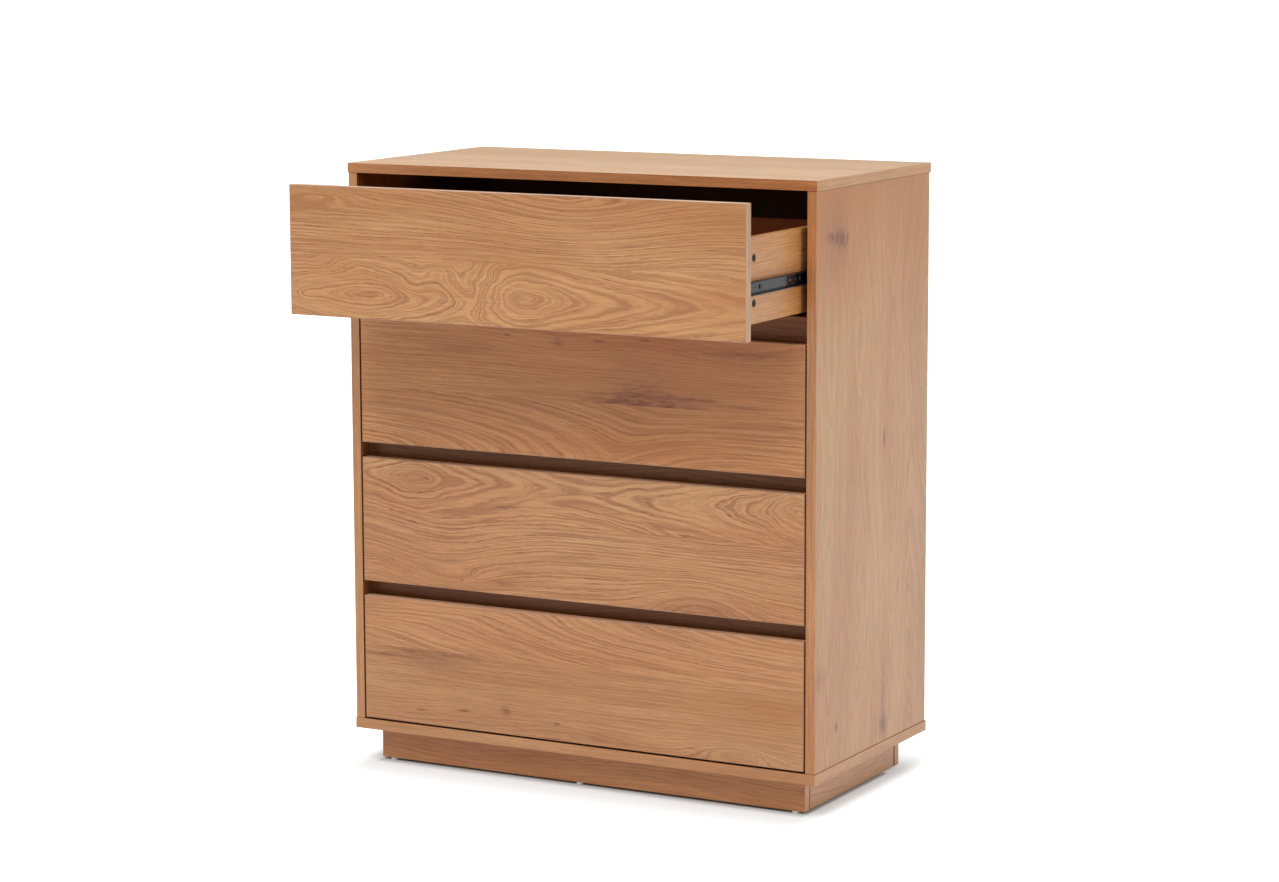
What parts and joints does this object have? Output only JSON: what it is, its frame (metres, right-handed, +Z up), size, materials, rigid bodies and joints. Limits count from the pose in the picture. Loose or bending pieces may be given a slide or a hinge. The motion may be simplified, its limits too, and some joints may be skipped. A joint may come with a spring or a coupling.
{
  "type": "tall chest of drawers",
  "caption": "Tall rectangular chest with plain flush drawers on ball-bearing slides, finger gaps between the fronts and a set-back plinth.",
  "frame": {"origin": "on the floor, under the middle of the overall box with the top drawer open as stored", "axes": "+Z up, +X to the chest's right as seen from the front, +Y towards the back; the drawers open towards -Y"},
  "size_m": [0.8, 0.587, 0.942],
  "materials": {
    "oak_top": "matt printed oak laminate, pale",
    "oak_carcass": "matt printed oak laminate, upright grain on the sides",
    "oak_fronts": "matt printed oak laminate, level grain",
    "oak_plinth": "matt printed oak laminate, level grain",
    "oak_boxes": "printed oak foil on thin board",
    "base_board": "foil-faced hardboard",
    "back_board": "bare hardboard",
    "slide_steel": "semi-gloss black coat",
    "cage_steel": "zinc-plated",
    "cam_metal": "dark zinc",
    "glide_plastic": "cloudy white nylon"
  },
  "bodies": {
    "carcass": {"top_panel": "oak_top", "bottom_panel": "oak_carcass", "side_left": "oak_carcass", "side_right": "oak_carcass", "back_panel": "back_board", "rail_1": "oak_carcass", "rail_2": "oak_carcass", "rail_3": "oak_carcass", "plinth_front": "oak_plinth", "plinth_rear": "oak_plinth", "plinth_left": "oak_plinth", "plinth_right": "oak_plinth", "slide_1_track_left": "slide_steel", "slide_1_track_right": "slide_steel", "slide_2_track_left": "slide_steel", "slide_2_track_right": "slide_steel", "slide_3_track_left": "slide_steel", "slide_3_track_right": "slide_steel", "slide_4_track_left": "slide_steel", "slide_4_track_right": "slide_steel"},
    "drawer_1": {"drawer_1_front": "oak_fronts", "drawer_1_side_left": "oak_boxes", "drawer_1_side_right": "oak_boxes", "drawer_1_back": "oak_boxes", "drawer_1_base": "base_board", "slide_1_member_left": "slide_steel", "slide_1_member_right": "slide_steel"},
    "cages_1": {"slide_1_cage_left": "cage_steel", "slide_1_cage_right": "cage_steel"},
    "drawer_2": {"drawer_2_front": "oak_fronts", "drawer_2_side_left": "oak_boxes", "drawer_2_side_right": "oak_boxes", "drawer_2_back": "oak_boxes", "drawer_2_base": "base_board", "slide_2_member_left": "slide_steel", "slide_2_member_right": "slide_steel"},
    "cages_2": {"slide_2_cage_left": "cage_steel", "slide_2_cage_right": "cage_steel"},
    "drawer_3": {"drawer_3_front": "oak_fronts", "drawer_3_side_left": "oak_boxes", "drawer_3_side_right": "oak_boxes", "drawer_3_back": "oak_boxes", "drawer_3_base": "base_board", "slide_3_member_left": "slide_steel", "slide_3_member_right": "slide_steel"},
    "cages_3": {"slide_3_cage_left": "cage_steel", "slide_3_cage_right": "cage_steel"},
    "drawer_4": {"drawer_4_front": "oak_fronts", "drawer_4_side_left": "oak_boxes", "drawer_4_side_right": "oak_boxes", "drawer_4_back": "oak_boxes", "drawer_4_base": "base_board", "slide_4_member_left": "slide_steel", "slide_4_member_right": "slide_steel"},
    "cages_4": {"slide_4_cage_left": "cage_steel", "slide_4_cage_right": "cage_steel"}
  },
  "joints": [
    {"name": "drawer_1_slide", "type": "slide", "parent": "carcass", "child": "drawer_1", "axis": [0, -1, 0], "range_m": [-0.188, 0.037]},
    {"name": "cages_1_roll", "type": "slide", "parent": "carcass", "child": "cages_1", "axis": [0, -1, 0], "range_m": [-0.0945, 0.019]},
    {"name": "drawer_2_slide", "type": "slide", "parent": "carcass", "child": "drawer_2", "axis": [0, -1, 0], "range_m": [0, 0.225]},
    {"name": "cages_2_roll", "type": "slide", "parent": "carcass", "child": "cages_2", "axis": [0, -1, 0], "range_m": [-0.0005, 0.113]},
    {"name": "drawer_3_slide", "type": "slide", "parent": "carcass", "child": "drawer_3", "axis": [0, -1, 0], "range_m": [0, 0.225]},
    {"name": "cages_3_roll", "type": "slide", "parent": "carcass", "child": "cages_3", "axis": [0, -1, 0], "range_m": [-0.0005, 0.113]},
    {"name": "drawer_4_slide", "type": "slide", "parent": "carcass", "child": "drawer_4", "axis": [0, -1, 0], "range_m": [0, 0.225]},
    {"name": "cages_4_roll", "type": "slide", "parent": "carcass", "child": "cages_4", "axis": [0, -1, 0], "range_m": [-0.0005, 0.113]}
  ],
  "couplings": [
    {"joint": "cages_1_roll", "follows": "drawer_1_slide", "ratio": 0.5},
    {"joint": "cages_2_roll", "follows": "drawer_2_slide", "ratio": 0.5},
    {"joint": "cages_3_roll", "follows": "drawer_3_slide", "ratio": 0.5},
    {"joint": "cages_4_roll", "follows": "drawer_4_slide", "ratio": 0.5}
  ]
}
